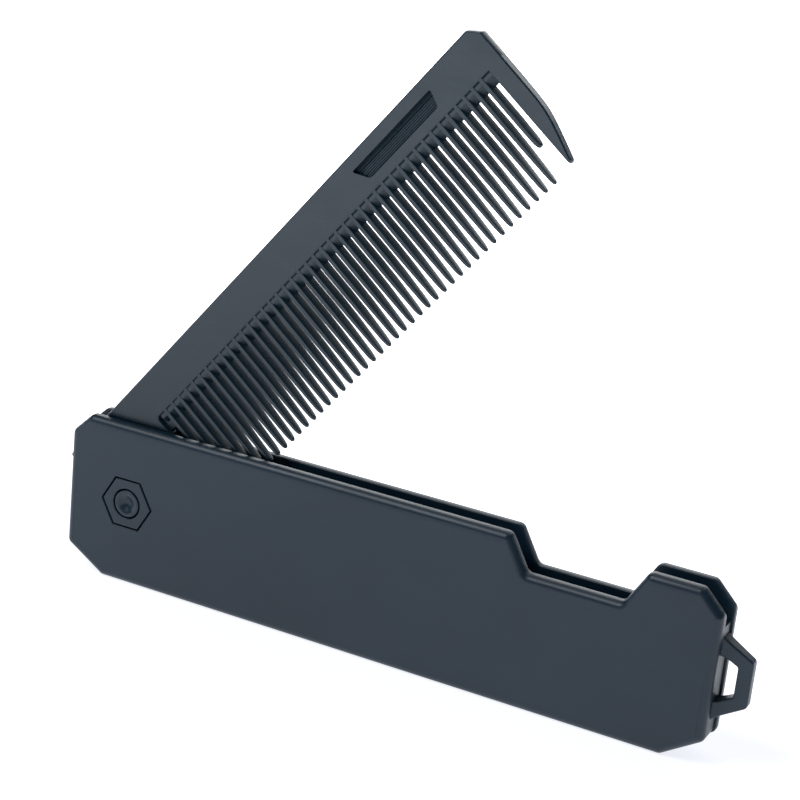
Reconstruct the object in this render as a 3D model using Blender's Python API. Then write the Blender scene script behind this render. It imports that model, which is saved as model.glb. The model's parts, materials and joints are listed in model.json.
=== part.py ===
"""Folding comb with a lanyard loop, standing on the closed edge of its handle.

The comb swings out of the slot between two plates, about a pin near one end.
X runs along the handle from the pin end to the loop end, Z is up, and the
plate with the hexagonal nut faces -Y. The origin is the middle of the edge
that the handle stands on. Sizes are in millimetres and angles in degrees.
"""

import math

import bmesh
import bpy

MM = 0.001
FIT_GAP = 0.3

# Handle: lengths along are from the pin end, depths are from the nut's side
HANDLE_LENGTH = 122.9
HANDLE_HEIGHT = 30.0
HANDLE_THICKNESS = 7.6
BACK_OVERHANG = 0.4
FRONT_PLATE = 2.3
BACK_PLATE = 2.25
OUTER_ROUND = 1.0
ROUND_STEPS = 4

# Corners of the handle
PIN_END_LOW_RUN = 7.65
PIN_END_LOW_RISE = 4.65
PIN_END_TOP_CORNER = 3.7
LOOP_END_LOW_RUN = 6.9
LOOP_END_LOW_RISE = 4.5
LOOP_END_TOP_CORNER = 3.9
CORNER_ROUND = 1.25
CORNER_STEPS = 3

# Notch that bares the comb's spine
NOTCH_START = 85.9
NOTCH_END = 109.9
NOTCH_DEPTH = 6.15
NOTCH_ANGLE = 60.0

# Walls that close the slot below and at the loop end
BOTTOM_WALL = 1.6
BOTTOM_WALL_START = 17.8
END_WALL = 1.4
END_WALL_TOP = 24.0
SLANT_LEAD = 1.05

# Lanyard loop
LOOP_CENTRE = 15.05
LOOP_REACH = 5.3
LOOP_ROOT_HALF = 7.1
LOOP_TIP_HALF = 3.95
LOOP_ROUND = 0.9
LOOP_SINK = 0.8
LOOP_ROOT_FRONT = 2.4
LOOP_ROOT_BACK = 5.0
LOOP_TIP_FRONT = 2.9
LOOP_TIP_BACK = 4.85
HOLE_REACH = 2.9
HOLE_ROOT_HALF = 4.15
HOLE_TIP_HALF = 2.6
HOLE_ROUND = 0.5
HOLE_SINK = 0.4

# Pin and nut
PIVOT_ALONG = 12.55
PIVOT_UP = 15.4
PIN_RADIUS = 2.5
PIN_END = 6.2
PIN_EDGE = 0.15
PIN_SIDES = 32
DISH_RADIUS = 2.1
DISH_DEPTH = 0.5
DISH_STEPS = 3
NUT_ACROSS_FLATS = 8.65
NUT_THICKNESS = 1.2

# Comb, in its own axes: along from the pin, and down from the pin to the tips
OPENING_ANGLE = 51.76
COMB_THICKNESS = 2.2
COMB_END = 108.5
SPINE = -14.4
ROOT_LINE = -7.45
TIP_LINE = 12.5
END_CORNER_RUN = 1.7
END_CORNER_RISE = 1.9
EDGE_ROUND = 0.5
TANG_END = -4.9
TANG_RADIUS = 6.8
TANG_STEPS = 12
HEEL = 15.3
HEEL_LINE = -3.5
HEEL_ROUND = 1.0

# Teeth
TOOTH_COUNT = 43
TOOTH_PITCH = 2.041
FIRST_TOOTH = 17.64
TOOTH_HALF_WIDTH = 0.45
TOOTH_DRAFT = 0.11
TAPER_LINE = 1.3
TOOTH_TAPER = 0.023
THINNING_LINE = 5.0
THINNING = 0.045
SHORT_TIP_LINE = 6.8
TIP_ROUNDING = 2.5
TIP_STEPS = (1.3, 0.6, 0.2)
TIP_CAP = 0.97
WEB_END = -5.6
WEB_HALF = 1.0
WEB_ROUND = 0.85
WEB_STEPS = 2

# Guard tooth at the comb's end
GUARD_INNER = 105.3
GUARD_BEND = 3.3
GUARD_TIP_LINE = 11.9
GUARD_TIP = 105.8
GUARD_THINNING = 0.35
GUARD_TIP_RUN = 1.0
GUARD_TIP_STEPS = (1.0, 0.4, 0.15, 0.0)

# Nail nick in the comb's face
NICK_TOP = -12.15
NICK_BOTTOM = -9.2
NICK_TOP_ENDS = (76.0, 95.9)
NICK_BOTTOM_ENDS = (77.9, 95.0)
NICK_DEPTH = 0.7
RIB_COUNT = 3
RIB_HEIGHT = 0.35

CUTTER_REACH = 1.0
SHARP_ANGLE = 30.0

HALF_THICKNESS = HANDLE_THICKNESS / 2
MIDDLE_ALONG = HANDLE_LENGTH / 2
BACK_PLATE_START = HANDLE_THICKNESS - BACK_PLATE
WALL_BACK = BACK_PLATE_START - FIT_GAP
COMB_HALF = COMB_THICKNESS / 2
COMB_MIDDLE = FRONT_PLATE + FIT_GAP + COMB_HALF
BORE_RADIUS = PIN_RADIUS + FIT_GAP


def clear_scene():
    for item in list(bpy.data.objects):
        bpy.data.objects.remove(item, do_unlink=True)


def plastic(name, colour, roughness):
    material = bpy.data.materials.new(name)
    material.use_nodes = True
    shader = material.node_tree.nodes["Principled BSDF"]
    shader.inputs["Base Color"].default_value = colour
    shader.inputs["Roughness"].default_value = roughness
    shader.inputs["Metallic"].default_value = 0.0
    return material


def front_plastic():
    return plastic("front_plastic", (0.055, 0.067, 0.082, 1.0), 0.42)


def back_plastic():
    return plastic("back_plastic", (0.052, 0.063, 0.077, 1.0), 0.42)


def nut_plastic():
    return plastic("nut_plastic", (0.056, 0.068, 0.083, 1.0), 0.4)


def pin_plastic():
    return plastic("pin_plastic", (0.06, 0.072, 0.088, 1.0), 0.36)


def comb_plastic():
    return plastic("comb_plastic", (0.074, 0.089, 0.098, 1.0), 0.45)


def finish_mesh(bm, name, material):
    """Turn a closed bmesh into an object with outward faces and smooth rounds."""
    bmesh.ops.recalc_face_normals(bm, faces=bm.faces)
    mesh = bpy.data.meshes.new(name)
    bm.to_mesh(mesh)
    bm.free()
    if material:
        mesh.materials.append(material)
    mesh.shade_smooth()
    mesh.set_sharp_from_angle(angle=math.radians(SHARP_ANGLE))
    item = bpy.data.objects.new(name, mesh)
    bpy.context.scene.collection.objects.link(item)
    return item


def hide(item):
    """Keep a cutting or joining shape out of the finished object."""
    item.hide_render = True
    item.display_type = "WIRE"


def combine(item, other, operation):
    """Cut the other shape from the item, or join it on."""
    modifier = item.modifiers.new(operation.lower() + "_" + other.name, "BOOLEAN")
    modifier.operation = operation
    modifier.solver = "EXACT"
    modifier.object = other


def corner_points(before, corner, after, inset):
    """Points round one corner of an outline moved inward by the inset."""
    along_in = (corner[0] - before[0], corner[1] - before[1])
    along_out = (after[0] - corner[0], after[1] - corner[1])
    length_in = math.hypot(*along_in)
    length_out = math.hypot(*along_out)
    way_in = (along_in[0] / length_in, along_in[1] / length_in)
    way_out = (along_out[0] / length_out, along_out[1] / length_out)
    side_in = (-way_in[1], way_in[0])
    side_out = (-way_out[1], way_out[0])
    spread = 1 + side_in[0] * side_out[0] + side_in[1] * side_out[1]
    tip_x = corner[0] + inset * (side_in[0] + side_out[0]) / spread
    tip_z = corner[1] + inset * (side_in[1] + side_out[1]) / spread
    if not corner[2]:
        return [(tip_x, tip_z)]
    turn = math.atan2(
        way_in[0] * way_out[1] - way_in[1] * way_out[0],
        way_in[0] * way_out[0] + way_in[1] * way_out[1],
    )
    bend = math.copysign(1.0, turn)
    radius = corner[2] - bend * inset
    run = radius * math.tan(abs(turn) / 2)
    centre_x = tip_x - run * way_in[0] + bend * radius * side_in[0]
    centre_z = tip_z - run * way_in[1] + bend * radius * side_in[1]
    start = math.atan2(-bend * side_in[1], -bend * side_in[0])
    points = []
    for step in range(CORNER_STEPS + 1):
        angle = start + turn * step / CORNER_STEPS
        points.append((centre_x + radius * math.cos(angle), centre_z + radius * math.sin(angle)))
    return points


def rounded_outline(corners, inset=0.0):
    """Closed outline with each corner (x, z, radius) rounded."""
    points = []
    for index, corner in enumerate(corners):
        after = corners[(index + 1) % len(corners)]
        points += corner_points(corners[index - 1], corner, after, inset)
    return points


def wall_corners(length):
    """Outer corners of a plate where the slot is closed."""
    return [
        (BOTTOM_WALL_START, 0.0, 0.0),
        (length - LOOP_END_LOW_RUN, 0.0, CORNER_ROUND),
        (length, LOOP_END_LOW_RISE, CORNER_ROUND),
        (length, END_WALL_TOP, 0.0),
    ]


def open_corners(length):
    """Outer corners of a plate where the slot is open."""
    slope = NOTCH_DEPTH / math.tan(math.radians(NOTCH_ANGLE))
    floor = HANDLE_HEIGHT - NOTCH_DEPTH
    return [
        (length, HANDLE_HEIGHT - LOOP_END_TOP_CORNER, CORNER_ROUND),
        (length - LOOP_END_TOP_CORNER, HANDLE_HEIGHT, CORNER_ROUND),
        (NOTCH_END, HANDLE_HEIGHT, CORNER_ROUND),
        (NOTCH_END - slope, floor, CORNER_ROUND),
        (NOTCH_START + slope, floor, CORNER_ROUND),
        (NOTCH_START, HANDLE_HEIGHT, CORNER_ROUND),
        (PIN_END_TOP_CORNER, HANDLE_HEIGHT, CORNER_ROUND),
        (0.0, HANDLE_HEIGHT - PIN_END_TOP_CORNER, CORNER_ROUND),
        (0.0, PIN_END_LOW_RISE, CORNER_ROUND),
        (PIN_END_LOW_RUN, 0.0, CORNER_ROUND),
    ]


def handle_vert(bm, along, depth, up):
    return bm.verts.new(((along - MIDDLE_ALONG) * MM, (depth - HALF_THICKNESS) * MM, up * MM))


def strip(bm, first, second, closed):
    """Quads between two rows with the same number of corners."""
    count = len(first)
    for index in range(count if closed else count - 1):
        after = (index + 1) % count
        bm.faces.new((first[index], first[after], second[after], second[index]))


def plate_rings(bm, length, face_depth, inward):
    """Rounded outer edge of a plate, from its face to where its side is straight."""
    rings = []
    for step in range(ROUND_STEPS + 1):
        turn = math.pi / 2 * step / ROUND_STEPS
        inset = OUTER_ROUND * (1 - math.sin(turn))
        depth = face_depth + inward * OUTER_ROUND * (1 - math.cos(turn))
        outline = rounded_outline(wall_corners(length) + open_corners(length), inset)
        rings.append([handle_vert(bm, x, depth, z) for x, z in outline])
    bm.faces.new(rings[0])
    for first, second in zip(rings, rings[1:]):
        strip(bm, first, second, True)
    return rings[-1]


def inner_wall():
    """Inner side of the walls, from the bottom wall's start to the end wall's top."""
    slope = LOOP_END_LOW_RISE / LOOP_END_LOW_RUN
    slant_start = HANDLE_LENGTH - LOOP_END_LOW_RUN + SLANT_LEAD
    inner_end = HANDLE_LENGTH - END_WALL
    return [
        (BOTTOM_WALL_START, BOTTOM_WALL),
        (slant_start, BOTTOM_WALL),
        (inner_end, BOTTOM_WALL + (inner_end - slant_start) * slope),
        (inner_end, END_WALL_TOP),
    ]


def build_front_plate(material):
    bm = bmesh.new()
    side = plate_rings(bm, HANDLE_LENGTH, 0.0, 1)
    outline = rounded_outline(wall_corners(HANDLE_LENGTH) + open_corners(HANDLE_LENGTH))
    wall_top = outline.index((HANDLE_LENGTH, END_WALL_TOP))
    plate = [handle_vert(bm, x, FRONT_PLATE, z) for x, z in outline]
    strip(bm, side, plate, True)
    near_outer = plate[:wall_top + 1]
    far_outer = [handle_vert(bm, x, WALL_BACK, z) for x, z in outline[:wall_top + 1]]
    near_inner = [handle_vert(bm, x, FRONT_PLATE, z) for x, z in inner_wall()]
    far_inner = [handle_vert(bm, x, WALL_BACK, z) for x, z in inner_wall()]
    bm.faces.new(plate[wall_top:] + plate[:1] + near_inner)
    near = near_outer + near_inner[::-1]
    far = far_outer + far_inner[::-1]
    strip(bm, near, far, True)
    bm.faces.new(far)
    return finish_mesh(bm, "front_shell", material)


def loop_depth(along, root, tip):
    return root + (along - HANDLE_LENGTH) / LOOP_REACH * (tip - root)


def loop_rows(bm, reach, root_half, tip_half, sink, radius):
    """Front and back rows of corners round the loop or round its hole."""
    start = root_half + sink * (root_half - tip_half) / reach
    outline = rounded_outline([
        (HANDLE_LENGTH - sink, LOOP_CENTRE - start, 0.0),
        (HANDLE_LENGTH + reach, LOOP_CENTRE - tip_half, radius),
        (HANDLE_LENGTH + reach, LOOP_CENTRE + tip_half, radius),
        (HANDLE_LENGTH - sink, LOOP_CENTRE + start, 0.0),
    ])
    front = []
    back = []
    for x, z in outline:
        front.append(handle_vert(bm, x, loop_depth(x, LOOP_ROOT_FRONT, LOOP_TIP_FRONT), z))
        back.append(handle_vert(bm, x, loop_depth(x, LOOP_ROOT_BACK, LOOP_TIP_BACK), z))
    return front, back


def build_loop():
    """Flat tapering loop whose ends run a little way into the end wall."""
    bm = bmesh.new()
    outer_front, outer_back = loop_rows(
        bm, LOOP_REACH, LOOP_ROOT_HALF, LOOP_TIP_HALF, LOOP_SINK, LOOP_ROUND)
    hole_front, hole_back = loop_rows(
        bm, HOLE_REACH, HOLE_ROOT_HALF, HOLE_TIP_HALF, HOLE_SINK, HOLE_ROUND)
    strip(bm, outer_front, hole_front, True)
    strip(bm, hole_front, hole_back, True)
    strip(bm, hole_back, outer_back, True)
    strip(bm, outer_back, outer_front, True)
    return finish_mesh(bm, "loop_shape", None)


def prism_at_pivot(name, sides, radius, start, end, material):
    """Prism on the pin's axis between two depths."""
    bm = bmesh.new()
    rings = []
    for depth in (start, end):
        ring = []
        for index in range(sides):
            angle = 2 * math.pi * index / sides
            ring.append(bm.verts.new(
                (radius * math.cos(angle) * MM, depth * MM, radius * math.sin(angle) * MM)))
        bm.faces.new(ring)
        rings.append(ring)
    strip(bm, rings[0], rings[1], True)
    item = finish_mesh(bm, name, material)
    place_at_pivot(item, 0.0)
    return item


def place_at_pivot(item, depth):
    """Put an item's origin on the pin's axis, its own depths counted from there."""
    item.location = (
        (PIVOT_ALONG - MIDDLE_ALONG) * MM, (depth - HALF_THICKNESS) * MM, PIVOT_UP * MM)


def hexagon_radius(across_flats):
    return across_flats / math.sqrt(3)


def build_bore_cutter():
    end = PIN_END + FIT_GAP
    item = prism_at_pivot("bore_cutter", PIN_SIDES, BORE_RADIUS, -CUTTER_REACH, end, None)
    hide(item)
    return item


def build_front_shell(bore):
    shell = build_front_plate(front_plastic())
    loop = build_loop()
    hide(loop)
    combine(shell, loop, "UNION")
    recess_radius = hexagon_radius(NUT_ACROSS_FLATS + 2 * FIT_GAP)
    recess_end = NUT_THICKNESS + FIT_GAP
    recess = prism_at_pivot("recess_cutter", 6, recess_radius, -CUTTER_REACH, recess_end, None)
    hide(recess)
    combine(shell, recess, "DIFFERENCE")
    combine(shell, bore, "DIFFERENCE")


def build_back_plate(bore):
    bm = bmesh.new()
    length = HANDLE_LENGTH + BACK_OVERHANG
    side = plate_rings(bm, length, HANDLE_THICKNESS, -1)
    outline = rounded_outline(wall_corners(length) + open_corners(length))
    face = [handle_vert(bm, x, BACK_PLATE_START, z) for x, z in outline]
    strip(bm, side, face, True)
    bm.faces.new(face)
    plate = finish_mesh(bm, "back_plate", back_plastic())
    combine(plate, bore, "DIFFERENCE")


def build_hex_nut(bore):
    radius = hexagon_radius(NUT_ACROSS_FLATS)
    nut = prism_at_pivot("hex_nut", 6, radius, 0.0, NUT_THICKNESS, nut_plastic())
    combine(nut, bore, "DIFFERENCE")


def pin_profile():
    """Radius and depth down the pin, from the dish's middle to the far end."""
    profile = []
    for step in range(1, DISH_STEPS + 1):
        part = step / DISH_STEPS
        profile.append((DISH_RADIUS * part, DISH_DEPTH * (1 - part ** 2)))
    profile.append((PIN_RADIUS - PIN_EDGE, 0.0))
    profile.append((PIN_RADIUS, PIN_EDGE))
    profile.append((PIN_RADIUS, PIN_END - PIN_EDGE))
    profile.append((PIN_RADIUS - PIN_EDGE, PIN_END))
    return profile


def build_pivot_pin():
    bm = bmesh.new()
    rings = []
    for radius, depth in pin_profile():
        ring = []
        for index in range(PIN_SIDES):
            angle = 2 * math.pi * index / PIN_SIDES
            ring.append(bm.verts.new(
                (radius * math.cos(angle) * MM, depth * MM, radius * math.sin(angle) * MM)))
        rings.append(ring)
    middle = bm.verts.new((0.0, DISH_DEPTH * MM, 0.0))
    for index in range(PIN_SIDES):
        bm.faces.new((middle, rings[0][index], rings[0][(index + 1) % PIN_SIDES]))
    for first, second in zip(rings, rings[1:]):
        strip(bm, first, second, True)
    bm.faces.new(rings[-1])
    pin = finish_mesh(bm, "pivot_pin", pin_plastic())
    place_at_pivot(pin, 0.0)


def comb_vert(bm, along, depth, down):
    return bm.verts.new((along * MM, depth * MM, -down * MM))


def rounding(level, tip, run):
    """Share of a tooth's depth that is left where its tip rounds off."""
    reach = min(TIP_CAP, max(0.0, 1 - (tip - level) / run))
    return math.sqrt(1 - reach ** 3)


def half_depth(level, tip):
    """Half a fine tooth's depth, which thins slowly and rounds off at its tip."""
    thinning = THINNING * max(0.0, level - THINNING_LINE)
    return (COMB_HALF - thinning) * rounding(level, tip, TIP_ROUNDING)


def half_width(level, depth):
    """Half a fine tooth's width, which is greater at its back and tapers to its tip."""
    return TOOTH_HALF_WIDTH + TOOTH_DRAFT * depth - TOOTH_TAPER * max(0.0, level - TAPER_LINE)


def web_profile():
    """Depth and level round the web between two teeth, without its two root corners."""
    points = [(-WEB_HALF, ROOT_LINE)]
    for step in range(WEB_STEPS + 1):
        turn = math.pi / 2 * step / WEB_STEPS
        points.append((
            WEB_ROUND * (1 - math.cos(turn)) - WEB_HALF,
            WEB_END - WEB_ROUND * (1 - math.sin(turn)),
        ))
    return points + [(-depth, down) for depth, down in reversed(points)]


def tooth_levels(tip):
    """Levels from the root line down to the tip."""
    base = tip - TIP_ROUNDING
    levels = [level for level in (ROOT_LINE, TAPER_LINE, THINNING_LINE) if level < base]
    return levels + [base] + [tip - step for step in TIP_STEPS] + [tip]


def ring_at(bm, left, right, half, level):
    """Four corners of a tooth at one level: front left, front right, back right, back left."""
    return [
        comb_vert(bm, left(level, -half), -half, level),
        comb_vert(bm, right(level, -half), -half, level),
        comb_vert(bm, right(level, half), half, level),
        comb_vert(bm, left(level, half), half, level),
    ]


def close_tooth(bm, rings):
    """Front and back faces of a tooth, and its tip."""
    for first, second in zip(rings, rings[1:]):
        bm.faces.new((first[0], first[1], second[1], second[0]))
        bm.faces.new((first[2], first[3], second[3], second[2]))
    bm.faces.new(rings[-1])


def flank(bm, rings, front, back, along_at):
    """Side of a tooth with the web's outline let into its root."""
    web = [comb_vert(bm, along_at(down, depth), depth, down) for depth, down in web_profile()]
    root = [rings[0][front], rings[1][front], rings[1][back], rings[0][back]]
    bm.faces.new(root + web[::-1])
    for first, second in zip(rings[1:], rings[2:]):
        bm.faces.new((first[front], first[back], second[back], second[front]))
    return [rings[0][front]] + web + [rings[0][back]]


def build_tooth(bm, index):
    """One fine tooth; the last one is short."""
    centre = FIRST_TOOTH + TOOTH_PITCH * index
    tip = SHORT_TIP_LINE if index == TOOTH_COUNT - 1 else TIP_LINE

    def left_side(level, depth):
        return centre - half_width(level, depth)

    def right_side(level, depth):
        return centre + half_width(level, depth)

    rings = []
    for level in tooth_levels(tip):
        rings.append(ring_at(bm, left_side, right_side, half_depth(level, tip), level))
    close_tooth(bm, rings)
    return rings[0], flank(bm, rings, 0, 3, left_side), flank(bm, rings, 1, 2, right_side)


def guard_inner(level, depth):
    return GUARD_INNER


def guard_outer(level, depth):
    """Outer side of the guard tooth, which slants in below its bend."""
    slant = max(0.0, (level - GUARD_BEND) / (GUARD_TIP_LINE - GUARD_BEND))
    return COMB_END + slant * (GUARD_TIP - COMB_END)


def guard_depth(level):
    thinning = GUARD_THINNING * max(0.0, (level - ROOT_LINE) / (TIP_LINE - ROOT_LINE)) ** 2
    return (COMB_HALF - thinning) * rounding(level, GUARD_TIP_LINE, GUARD_TIP_RUN)


def build_guard(bm):
    levels = [ROOT_LINE, 0.0, GUARD_BEND, (GUARD_BEND + GUARD_TIP_LINE) / 2]
    levels += [GUARD_TIP_LINE - GUARD_TIP_RUN * step for step in GUARD_TIP_STEPS]
    rings = [
        ring_at(bm, guard_inner, guard_outer, guard_depth(level), level) for level in levels]
    for first, second in zip(rings, rings[1:]):
        bm.faces.new((first[1], first[2], second[2], second[1]))
    close_tooth(bm, rings)
    return rings[0], flank(bm, rings, 0, 3, guard_inner)


def body_outline():
    """Comb's outline from the heel round the tang and the spine to the guard tooth."""
    reach = math.hypot(HEEL, HEEL_LINE)
    start = math.atan2(HEEL_LINE, HEEL) + math.acos(TANG_RADIUS / reach)
    end = 2 * math.pi - math.acos(TANG_END / TANG_RADIUS)
    corners = [(HEEL, ROOT_LINE, 0.0), (HEEL, HEEL_LINE, HEEL_ROUND)]
    for step in range(TANG_STEPS + 1):
        angle = start + (end - start) * step / TANG_STEPS
        corners.append((TANG_RADIUS * math.cos(angle), TANG_RADIUS * math.sin(angle), 0.0))
    corners += [
        (TANG_END, SPINE, EDGE_ROUND),
        (COMB_END - END_CORNER_RUN, SPINE, EDGE_ROUND),
        (COMB_END, SPINE + END_CORNER_RISE, EDGE_ROUND),
        (COMB_END, ROOT_LINE, 0.0),
    ]
    return rounded_outline(corners)


def build_body(bm, teeth, guard_root, guard_left):
    """Faces of the spine and tang, their edge, and the webs between the teeth."""
    outline = body_outline()[:-1]
    front = [comb_vert(bm, x, -COMB_HALF, down) for x, down in outline]
    back = [comb_vert(bm, x, COMB_HALF, down) for x, down in outline]
    web = [comb_vert(bm, HEEL, depth, down) for depth, down in web_profile()]
    front_roots = [guard_root[1], guard_root[0]]
    back_roots = [guard_root[2], guard_root[3]]
    for root, left, right in reversed(teeth):
        front_roots += [root[1], root[0]]
        back_roots += [root[2], root[3]]
    bm.faces.new(front + front_roots)
    bm.faces.new(back + back_roots)
    strip(bm, front[1:] + [guard_root[1]], back[1:] + [guard_root[2]], False)
    bm.faces.new([front[0], front[1], back[1], back[0]] + web[::-1])
    previous = [front[0]] + web + [back[0]]
    for root, left, right in teeth:
        strip(bm, previous, left, False)
        previous = right
    strip(bm, previous, guard_left, False)


def build_nick_cutter():
    """Tapered groove with ribs along its floor."""
    bm = bmesh.new()
    rows = []
    count = 2 * RIB_COUNT + 2
    for index in range(count):
        part = index / (count - 1)
        down = NICK_TOP + (NICK_BOTTOM - NICK_TOP) * part
        start = NICK_TOP_ENDS[0] + (NICK_BOTTOM_ENDS[0] - NICK_TOP_ENDS[0]) * part
        end = NICK_TOP_ENDS[1] + (NICK_BOTTOM_ENDS[1] - NICK_TOP_ENDS[1]) * part
        rib = RIB_HEIGHT if index % 2 and index < count - 1 else 0.0
        floor = NICK_DEPTH - rib - COMB_HALF
        outside = -COMB_HALF - CUTTER_REACH
        rows.append((
            comb_vert(bm, start, outside, down),
            comb_vert(bm, end, outside, down),
            comb_vert(bm, end, floor, down),
            comb_vert(bm, start, floor, down),
        ))
    for first, second in zip(rows, rows[1:]):
        bm.faces.new((first[0], first[1], second[1], second[0]))
        bm.faces.new((first[3], first[2], second[2], second[3]))
    bm.faces.new([row[0] for row in rows] + [row[3] for row in reversed(rows)])
    bm.faces.new([row[1] for row in rows] + [row[2] for row in reversed(rows)])
    bm.faces.new(rows[0])
    bm.faces.new(rows[-1])
    return finish_mesh(bm, "nick_cutter", None)


def place_comb(item):
    place_at_pivot(item, COMB_MIDDLE)
    item.rotation_euler = (0.0, -math.radians(OPENING_ANGLE), 0.0)


def build_comb(bore):
    bm = bmesh.new()
    teeth = [build_tooth(bm, index) for index in range(TOOTH_COUNT)]
    guard_root, guard_left = build_guard(bm)
    build_body(bm, teeth, guard_root, guard_left)
    comb = finish_mesh(bm, "comb", comb_plastic())
    place_comb(comb)
    nick = build_nick_cutter()
    place_comb(nick)
    hide(nick)
    combine(comb, nick, "DIFFERENCE")
    combine(comb, bore, "DIFFERENCE")


def build_folding_comb():
    clear_scene()
    bore = build_bore_cutter()
    build_front_shell(bore)
    build_back_plate(bore)
    build_hex_nut(bore)
    build_pivot_pin()
    build_comb(bore)


build_folding_comb()
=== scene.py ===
"""Dressed folding comb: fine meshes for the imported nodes, materials, floor, lights and camera.

Lengths of the object and the camera are millimetres, and those of the floor,
the lights and the textures are metres. On the handle, along runs from its pin
end, depth from the nut's face and up from the floor. On the comb, along runs
from the pin to the free end, depth from its middle and down from the pin
towards the teeth's tips, so the spine has negative values.
"""

import json
import math

import bmesh
import bpy
from mathutils import Matrix, Vector


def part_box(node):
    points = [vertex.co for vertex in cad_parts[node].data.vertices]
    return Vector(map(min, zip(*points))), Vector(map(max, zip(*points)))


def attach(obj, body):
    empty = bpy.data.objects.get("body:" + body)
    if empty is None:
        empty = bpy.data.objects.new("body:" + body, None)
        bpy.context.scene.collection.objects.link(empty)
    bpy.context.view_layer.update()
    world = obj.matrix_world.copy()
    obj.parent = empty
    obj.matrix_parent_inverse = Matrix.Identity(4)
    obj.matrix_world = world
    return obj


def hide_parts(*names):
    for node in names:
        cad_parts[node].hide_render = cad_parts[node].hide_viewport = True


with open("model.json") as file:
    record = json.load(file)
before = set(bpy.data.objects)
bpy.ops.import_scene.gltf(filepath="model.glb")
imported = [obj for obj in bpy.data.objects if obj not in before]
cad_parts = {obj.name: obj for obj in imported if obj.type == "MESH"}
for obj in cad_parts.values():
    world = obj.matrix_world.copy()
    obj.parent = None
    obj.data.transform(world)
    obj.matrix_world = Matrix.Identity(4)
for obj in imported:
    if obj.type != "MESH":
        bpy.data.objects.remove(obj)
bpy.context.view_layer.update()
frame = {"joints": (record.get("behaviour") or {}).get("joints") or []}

MM = 0.001

# How far the back plate passes the front shell's end wall
BACK_OVERHANG = 0.4

# Sizes read from the frame
BACK_LOW, BACK_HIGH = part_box("back_plate")
SHELL_LOW, SHELL_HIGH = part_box("front_shell")
NUT_LOW, NUT_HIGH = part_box("hex_nut")
PIN_LOW, PIN_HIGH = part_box("pivot_pin")
COMB_LOW, COMB_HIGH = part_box("comb")
LEFT = BACK_LOW.x / MM
FRONT = SHELL_LOW.y / MM
BACK_LENGTH = (BACK_HIGH.x - BACK_LOW.x) / MM
LENGTH = BACK_LENGTH - BACK_OVERHANG
HEIGHT = BACK_HIGH.z / MM
THICKNESS = (BACK_HIGH.y - SHELL_LOW.y) / MM
BACK_START = (BACK_LOW.y - SHELL_LOW.y) / MM
LOOP_REACH = SHELL_HIGH.x / MM - LEFT - LENGTH
NUT_FLATS = (NUT_HIGH.z - NUT_LOW.z) / MM
NUT_THICKNESS = (NUT_HIGH.y - NUT_LOW.y) / MM
PIN_RADIUS = (PIN_HIGH.x - PIN_LOW.x) / MM / 2
PIN_END = (PIN_HIGH.y - SHELL_LOW.y) / MM
COMB_HALF = (COMB_HIGH.y - COMB_LOW.y) / MM / 2
COMB_MIDDLE = (COMB_HIGH.y + COMB_LOW.y) / MM / 2 - FRONT
PIVOT = Vector(frame["joints"][0]["pos_m"])
PIVOT_ALONG = PIVOT.x / MM - LEFT
PIVOT_UP = PIVOT.z / MM

# Edges: HOLD is a narrow flat beside a round, which keeps the face's shading flat
EDGE_STEPS = 4
HOLD = 0.08
SMOOTH_ANGLE = math.radians(32)

# Handle
FRONT_PLATE = 2.3
OUTER_ROUND = 1.3
OUTER_STEPS = 10
INNER_ROUND = 0.22
SEAM_ROUND = 0.12
SEAM = 0.05
PIN_END_LOW_RUN = 7.65
PIN_END_LOW_RISE = 4.65
PIN_END_TOP = 3.7
LOOP_END_LOW_RUN = 6.9
LOOP_END_LOW_RISE = 4.5
LOOP_END_TOP = 3.9
CORNER_ROUND = 1.3
CORNER_STEPS = 8
NOTCH_START = 85.9
NOTCH_END = 109.9
NOTCH_DEPTH = 6.15
NOTCH_ANGLE = 60.0
BOTTOM_WALL = 1.6
BOTTOM_WALL_START = 17.8
END_WALL = 1.4
END_WALL_TOP = 24.0
SLANT_LEAD = 1.05

# Lanyard loop: each pair of depths is its front and its back
LOOP_CENTRE = 15.05
LOOP_ROOT_HALF = 7.1
LOOP_TIP_HALF = 3.95
LOOP_ROUND = 0.95
LOOP_SINK = 0.8
LOOP_ROOT_DEPTHS = (2.4, 5.0)
LOOP_TIP_DEPTHS = (2.9, 4.85)
LOOP_EDGE = 0.32
LOOP_FLARE = 0.3
LOOP_FLARE_RUN = 0.4
LOOP_SPANS = 10
HOLE_REACH = 2.9
HOLE_ROOT_HALF = 4.15
HOLE_TIP_HALF = 2.6
HOLE_ROUND = 0.6

# Nut and pin
FIT_GAP = 0.3
NUT_CORNER = 0.25
LIP = 0.16
CIRCLE_STEPS = 72
DISH_RADIUS = 1.95
DISH_DEPTH = 0.85
DISH_STEPS = 14
DISH_POWER = 1.5
PIN_EDGE = 0.16

# Comb's flat body
OPENING_ANGLE = 51.76
COMB_END = 108.5
SPINE = -14.4
ROOT_LINE = -7.33
TIP_LINE = 12.5
END_CORNER_RUN = 1.7
END_CORNER_RISE = 1.9
COMB_CORNER = 0.55
COMB_EDGE = 0.25
TANG_END = -4.9
TANG_RADIUS = 6.8
TANG_STEPS = 40
HEEL = 15.3
HEEL_LINE = -3.5
HEEL_ROUND = 1.0

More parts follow.
